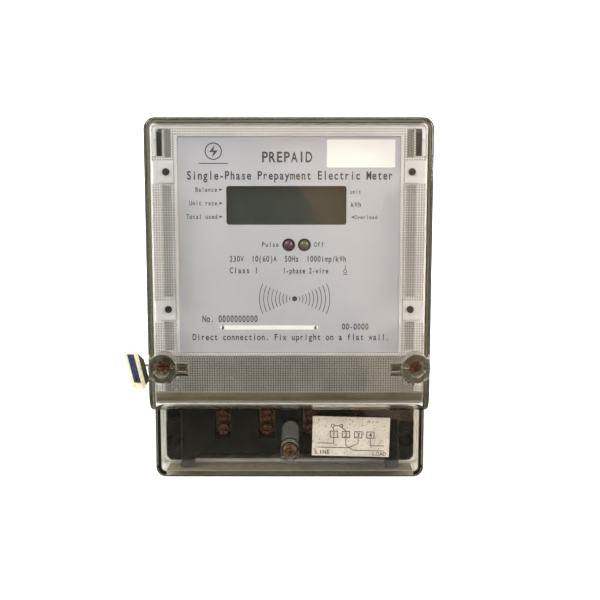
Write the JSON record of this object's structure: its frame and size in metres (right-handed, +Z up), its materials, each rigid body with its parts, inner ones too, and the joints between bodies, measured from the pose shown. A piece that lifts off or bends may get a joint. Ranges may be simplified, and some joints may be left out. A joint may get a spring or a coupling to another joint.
{
  "type": "prepaid electricity meter",
  "caption": "Wall-mounted single-phase prepaid electricity meter with clear removable covers, a display window, sealed screws and bottom cable terminals.",
  "frame": {"origin": "centre of the flat back face, on the wall", "axes": "+Z up, +X to the right of a reader facing the meter, front faces -Y"},
  "size_m": [0.1222, 0.06, 0.144],
  "materials": {
    "housing": "fine moulded texture",
    "rubber": "matt",
    "brass": "bright turned",
    "block": "moulded thermoset, slightly dusty",
    "screw_copper": "coppered, a little tarnished",
    "copper": "plain copper",
    "resistance_alloy": "dull alloy",
    "relay": "satin moulding",
    "lead": "flexible insulation",
    "board": "solder resist",
    "steel": "zinc plated",
    "transformer": "potted",
    "capacitor": "shrink sleeve",
    "varistor": "dipped",
    "battery": "sleeved cell",
    "chip": "moulded package",
    "black_trim": "satin",
    "reflector": "matt white",
    "lcd": "dark grey-green panel",
    "red_lens": "tinted diffused",
    "green_lens": "tinted diffused",
    "frame_white": "fine moulded",
    "black_screw": "black oxide",
    "label_silver": "silver-grey printed film",
    "paper_white": "blank sticker",
    "clear_cover": "clear moulding with a faint smoke tint",
    "wiring_paper": "aged print",
    "seal_wire": "copper wire",
    "seal_shell": "translucent cream",
    "seal_brown": "dark brown lock body",
    "seal_blue": "blue with light bars"
  },
  "bodies": {
    "base": {"base_housing": "housing", "base_gasket": "rubber", "threaded_inserts": "brass", "terminal_block": "block", "live_busbar_in": "copper", "shunt_element": "resistance_alloy", "relay_blade_in": "copper", "live_busbar_out": "copper", "neutral_busbar": "copper", "latching_relay": "relay", "relay_lead": "lead", "main_board": "board", "board_screws": "steel", "mains_transformer": "transformer", "reservoir_capacitors": "capacitor", "surge_varistor": "varistor", "backup_battery": "battery", "board_chips": "chip", "sounder": "black_trim", "lcd_holder": "black_trim", "lcd_reflector": "reflector", "lcd_glass": "lcd", "lcd_pins": "steel", "pulse_lamp": "red_lens", "off_lamp": "green_lens", "lamp_legs": "steel", "antenna_board": "board", "antenna_coil": "copper", "inner_frame": "frame_white", "panel_screws": "black_screw", "nameplate": "label_silver", "data_sticker": "paper_white", "terminal_sleeve_1": "brass", "terminal_sleeve_2": "brass", "terminal_sleeve_3": "brass", "terminal_sleeve_4": "brass"},
    "main_cover": {"main_cover": "clear_cover", "left_sealing_screw": "screw_copper", "left_sealing_washer": "steel", "seal_wire": "seal_wire", "seal_tag_body": "seal_shell", "seal_tag_plate": "seal_blue", "seal_tag_latch": "seal_brown"},
    "right_seal_carrier": {"right_sealing_washer": "steel"},
    "right_seal_screw": {"right_sealing_screw": "screw_copper"},
    "terminal_cover": {"terminal_cover": "clear_cover", "wiring_label": "wiring_paper"},
    "cover_screw_carrier": {"cover_screw_washer": "steel"},
    "cover_screw": {"cover_screw": "screw_copper"},
    "terminal_screw_1_upper": {"terminal_screw_1_upper": "screw_copper"},
    "terminal_screw_1_lower": {"terminal_screw_1_lower": "screw_copper"},
    "terminal_screw_2_upper": {"terminal_screw_2_upper": "screw_copper"},
    "terminal_screw_2_lower": {"terminal_screw_2_lower": "screw_copper"},
    "terminal_screw_3_upper": {"terminal_screw_3_upper": "screw_copper"},
    "terminal_screw_3_lower": {"terminal_screw_3_lower": "screw_copper"},
    "terminal_screw_4_upper": {"terminal_screw_4_upper": "screw_copper"},
    "terminal_screw_4_lower": {"terminal_screw_4_lower": "screw_copper"}
  },
  "joints": [
    {"name": "main_cover_pull", "type": "slide", "parent": "base", "child": "main_cover", "axis": [0, -1, 0], "range_m": [0, 0.06]},
    {"name": "right_seal_lift", "type": "slide", "parent": "main_cover", "child": "right_seal_carrier", "axis": [0, -1, 0], "range_m": [0, 0.003]},
    {"name": "right_seal_turn", "type": "hinge", "parent": "right_seal_carrier", "child": "right_seal_screw", "pos_m": [0.0496, -0.05, -0.0244], "axis": [0, -1, 0], "range_deg": [0, 2165]},
    {"name": "terminal_cover_pull", "type": "slide", "parent": "base", "child": "terminal_cover", "axis": [0, -1, 0], "range_m": [0, 0.06]},
    {"name": "cover_screw_lift", "type": "slide", "parent": "terminal_cover", "child": "cover_screw_carrier", "axis": [0, -1, 0], "range_m": [0, 0.003]},
    {"name": "cover_screw_turn", "type": "hinge", "parent": "cover_screw_carrier", "child": "cover_screw", "pos_m": [0, -0.044, -0.0612], "axis": [0, -1, 0], "range_deg": [0, 2165]},
    {"name": "terminal_screw_1_upper_clamp", "type": "slide", "parent": "base", "child": "terminal_screw_1_upper", "axis": [0, 1, 0], "range_m": [0, 0.004]},
    {"name": "terminal_screw_1_lower_clamp", "type": "slide", "parent": "base", "child": "terminal_screw_1_lower", "axis": [0, 1, 0], "range_m": [0, 0.004]},
    {"name": "terminal_screw_2_upper_clamp", "type": "slide", "parent": "base", "child": "terminal_screw_2_upper", "axis": [0, 1, 0], "range_m": [0, 0.004]},
    {"name": "terminal_screw_2_lower_clamp", "type": "slide", "parent": "base", "child": "terminal_screw_2_lower", "axis": [0, 1, 0], "range_m": [0, 0.004]},
    {"name": "terminal_screw_3_upper_clamp", "type": "slide", "parent": "base", "child": "terminal_screw_3_upper", "axis": [0, 1, 0], "range_m": [0, 0.004]},
    {"name": "terminal_screw_3_lower_clamp", "type": "slide", "parent": "base", "child": "terminal_screw_3_lower", "axis": [0, 1, 0], "range_m": [0, 0.004]},
    {"name": "terminal_screw_4_upper_clamp", "type": "slide", "parent": "base", "child": "terminal_screw_4_upper", "axis": [0, 1, 0], "range_m": [0, 0.004]},
    {"name": "terminal_screw_4_lower_clamp", "type": "slide", "parent": "base", "child": "terminal_screw_4_lower", "axis": [0, 1, 0], "range_m": [0, 0.004]}
  ],
  "couplings": [
    {"joint": "right_seal_turn", "follows": "right_seal_lift", "rad_per_m": 12566},
    {"joint": "cover_screw_turn", "follows": "cover_screw_lift", "rad_per_m": 12566}
  ]
}
